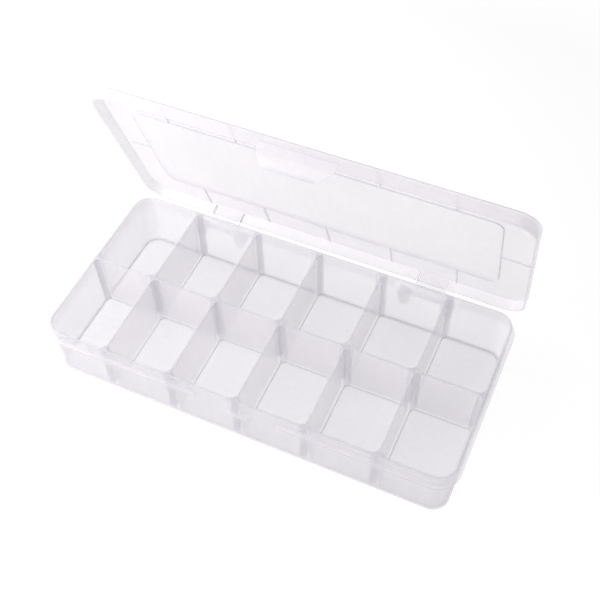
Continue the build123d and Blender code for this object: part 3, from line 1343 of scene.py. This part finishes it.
    def tongue(self, name: str, middle: float) -> Object:
        """One springy hinge tongue, from the back of the skirt down to its pin.

        Args:
            name: Name of the piece.
            middle: Place of the hinge along X.

        Returns:
            The tongue, drawn closed.
        """
        half, back = self.tongue_width / 2, self.lid.y_high
        low, high = (-half, self.hinge_z - self.pin_radius / 2), (half, self.plate_z)
        outline = rounded_rectangle(low, high, (self.tongue_corner,) * 4, self.round_steps)
        depths = (back + self.seam, back + self.tongue_thickness)
        bulks = (Bulk.WALL, Bulk.SOFT)
        draft = MeshDraft()
        draft.rounded_plate(outline, along_y(middle), depths, self.soft_edge, bulks)
        return draft.finished(name)

    def pin(self, name: str, middle: float) -> Object:
        """One hinge pin, chamfered at both ends.

        Args:
            name: Name of the piece.
            middle: Place of the hinge along X.

        Returns:
            The pin, drawn closed.
        """
        radius, axis_y, axis_z = self.pin_radius, self.hinge_y, self.hinge_z
        turns = [step / self.pin_sides * math.tau for step in range(self.pin_sides)]
        circle = [(radius * math.cos(turn), radius * math.sin(turn)) for turn in turns]
        depths, bulks = (middle - self.pin_half, middle + self.pin_half), (Bulk.SOFT, Bulk.FAINT)
        draft = MeshDraft()
        at_axis: Place = lambda y, z, x: (x, axis_y + y, axis_z + z)
        draft.rounded_plate(circle, at_axis, depths, self.pin_chamfer, bulks)
        return draft.finished(name)

    @staticmethod
    def swing(joint: dict) -> Matrix:
        """Turn that takes the closed lid to where it stands.

        Args:
            joint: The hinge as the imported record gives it.

        Returns:
            Rotation about the hinge axis.
        """
        pivot = Vector(joint["pos_m"])
        opening = -math.radians(joint["range_deg"][0])
        turn = Matrix.Rotation(opening, 4, Vector(joint["axis"]))
        return Matrix.Translation(pivot) @ turn @ Matrix.Translation(-pivot)

    def build(self, joint: dict) -> list[Object]:
        """Args:
            joint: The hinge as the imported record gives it.

        Returns:
            The pieces that were drawn.
        """
        parts = [
            (self.cap(), self.plastic, ["lid_plate", "lid_skirt"]),
            (self.ribs(), self.plastic, ["lid_ribs"]),
            (self.tab(), self.thin_plastic, ["latch_tab"]),
        ]
        for side, middle in zip(SIDES, self.hinge_x):
            tongue = self.tongue(f"{side}_spring_tongue", middle)
            pin = self.pin(f"{side}_snap_pin", middle)
            parts.append((tongue, self.thin_plastic, [f"{side}_hinge_tongue"]))
            parts.append((pin, self.thin_plastic, [f"{side}_hinge_pin"]))
        swing = self.swing(joint)
        for piece, _, _ in parts:
            piece.data.transform(swing)
        return self.declared(parts, Body.LID, Slot.LID)


# ---------------------------------------- studio
@dataclass(frozen=True)
class SoftLamp:
    """One square area lamp aimed at a point."""

    name: str
    place: Point
    aim: Point
    size: float
    power: float
    colour: Colour

    def build(self) -> None:
        """Adds the lamp."""
        light = bpy.data.lights.new(self.name, "AREA")
        light.shape, light.size = "SQUARE", self.size
        light.energy, light.color = self.power, self.colour
        lamp = bpy.data.objects.new(self.name, light)
        lamp.location = self.place
        ray = Vector(self.aim) - Vector(self.place)
        lamp.rotation_euler = ray.to_track_quat("-Z", "Y").to_euler()
        bpy.context.scene.collection.objects.link(lamp)


@dataclass
class Studio:
    """White sweep, soft lamps and the camera, in metres."""

    floor_half: float = 3.0
    floor_drop: float = 0.0003
    floor_colour: Colour = (0.8, 0.8, 0.8)
    lift_share: float = 0.5
    lift_strength: float = 1.4
    fade_span: Flat = (0.4, 1.2)
    ambient: float = 0.41
    ambient_colour: Colour = (0.97, 0.97, 1.0)
    camera_place: Point = (0.1656, -0.3122, 0.5276)
    camera_right: Point = (0.9113, 0.4112, -0.0196)
    camera_up: Point = (-0.3160, 0.7294, 0.6067)
    lens: float = 57.64
    sensor: float = 36.0
    clear_bounces: int = 64
    lamps: tuple[SoftLamp, ...] = (
        SoftLamp("key", (-0.5, -0.1, 0.42), (-0.03, 0.0, 0.04), 0.6, 3.6, (1.0, 0.985, 0.985)),
        SoftLamp("front", (-0.55, -0.75, 0.5), (0.0, 0.0, 0.06), 0.7, 2.4, (1.0, 0.99, 0.995)),
        SoftLamp("side", (0.7, -0.6, 0.4), (0.0, 0.0, 0.04), 0.6, 2.2, (1.0, 0.99, 0.995)),
    )

    @staticmethod
    def seen(wires: Wiring) -> Socket:
        """Mask of the rays that show the backdrop, straight, mirrored or through plastic.

        Args:
            wires: Tree that the nodes go into.

        Returns:
            1 for those rays and 0 for the rays that light the object.
        """
        rays = wires.node("ShaderNodeLightPath", {})
        seen = wires.maths("MAXIMUM", rays["Is Camera Ray"], rays["Is Glossy Ray"])
        return wires.maths("MAXIMUM", seen, rays["Is Transmission Ray"])

    def world(self) -> None:
        """White for rays that show the backdrop, plain and slightly cool for rays that light."""
        world = bpy.data.worlds.new("white_studio")
        bpy.context.scene.world = world
        world.use_nodes = True
        wires, nodes = Wiring(world.node_tree), world.node_tree.nodes
        lighting = nodes["Background"]
        wires.feed(lighting, {"Color": (*self.ambient_colour, 1.0), "Strength": self.ambient})
        shown = wires.node("ShaderNodeBackground", {"Color": WHITE})["Background"]
        parts = {"Fac": self.seen(wires), 1: lighting.outputs["Background"], 2: shown}
        mixed = wires.node("ShaderNodeMixShader", parts)["Shader"]
        wires.feed(nodes["World Output"], {"Surface": mixed})

    def paint(self) -> bpy.types.Material:
        """Pale matt paint, lifted to white for the camera, that keeps the object's shadow.

        Returns:
            The floor's material.
        """
        paint = bpy.data.materials.new("studio_paint")
        paint.use_nodes = True
        wires, nodes = Wiring(paint.node_tree), paint.node_tree.nodes
        nodes.remove(nodes["Principled BSDF"])
        share = wires.maths("MULTIPLY", self.seen(wires), self.faded_lift(wires))
        matt = wires.node("ShaderNodeBsdfDiffuse", {"Color": (*self.floor_colour, 1.0)})["BSDF"]
        lift = wires.node("ShaderNodeEmission", {"Strength": self.lift_strength})["Emission"]
        mixed = wires.node("ShaderNodeMixShader", {"Fac": share, 1: matt, 2: lift})["Shader"]
        wires.feed(nodes["Material Output"], {"Surface": mixed})
        return paint

    def faded_lift(self, wires: Wiring) -> Socket:
        """Share of the lift, which grows away from the object until the floor meets the world.

        Args:
            wires: Tree that the nodes go into.

        Returns:
            The plain share round the object, and 1 far from it.
        """
        place = wires.node("ShaderNodeTexCoord", {})["Object"]
        span = wires.node("ShaderNodeVectorMath", {0: place}, operation="LENGTH")["Value"]
        near, far = self.fade_span
        fade = {"Value": span, "From Min": near, "From Max": far, "To Min": self.lift_share}
        return wires.node("ShaderNodeMapRange", fade)["Result"]

    def floor(self) -> None:
        """Square floor just under the object."""
        half, z = self.floor_half, -self.floor_drop
        corners = [(-half, -half, z), (half, -half, z), (half, half, z), (-half, half, z)]
        mesh = bpy.data.meshes.new("studio_floor")
        mesh.from_pydata(corners, [], [range(len(corners))])
        mesh.materials.append(self.paint())
        floor = bpy.data.objects.new("studio_floor", mesh)
        bpy.context.scene.collection.objects.link(floor)

    def camera(self) -> None:
        """Camera above the front right, looking down into the compartments."""
        right, up = Vector(self.camera_right).normalized(), Vector(self.camera_up).normalized()
        turn = Matrix((right, up, right.cross(up))).transposed().to_4x4()
        lens = bpy.data.cameras.new("camera")
        lens.lens = self.lens
        lens.sensor_width = self.sensor
        camera = bpy.data.objects.new("camera", lens)
        camera.matrix_world = Matrix.Translation(Vector(self.camera_place)) @ turn
        bpy.context.scene.collection.objects.link(camera)
        bpy.context.scene.camera = camera

    def build(self) -> None:
        """Sets the world, floor, lamps, camera and view transform."""
        self.world()
        self.floor()
        for lamp in self.lamps:
            lamp.build()
        self.camera()
        scene = bpy.context.scene
        scene.view_settings.view_transform = "Standard"
        scene.cycles.transparent_max_bounces = self.clear_bounces


def main() -> None:
    """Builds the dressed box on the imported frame."""
    logging.basicConfig(level=logging.INFO, format="%(name)s: %(message)s")
    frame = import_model()
    pieces = Tray(TRAY_PLASTIC, TRAY_THIN_PLASTIC).build()
    # The lid takes the finishes painted lighter than the tray's, as painted light for the brighter
    # light that falls on it.
    pieces += Lid(LID_PLASTIC_PAINTED_LIGHTER, LID_THIN_PLASTIC_PAINTED_LIGHTER).build(frame["joints"][0])
    for piece in pieces:
        LOG.info("%s: %d faces", piece.name, len(piece.data.polygons))
    Studio().build()


if __name__ == "__main__":
    main()
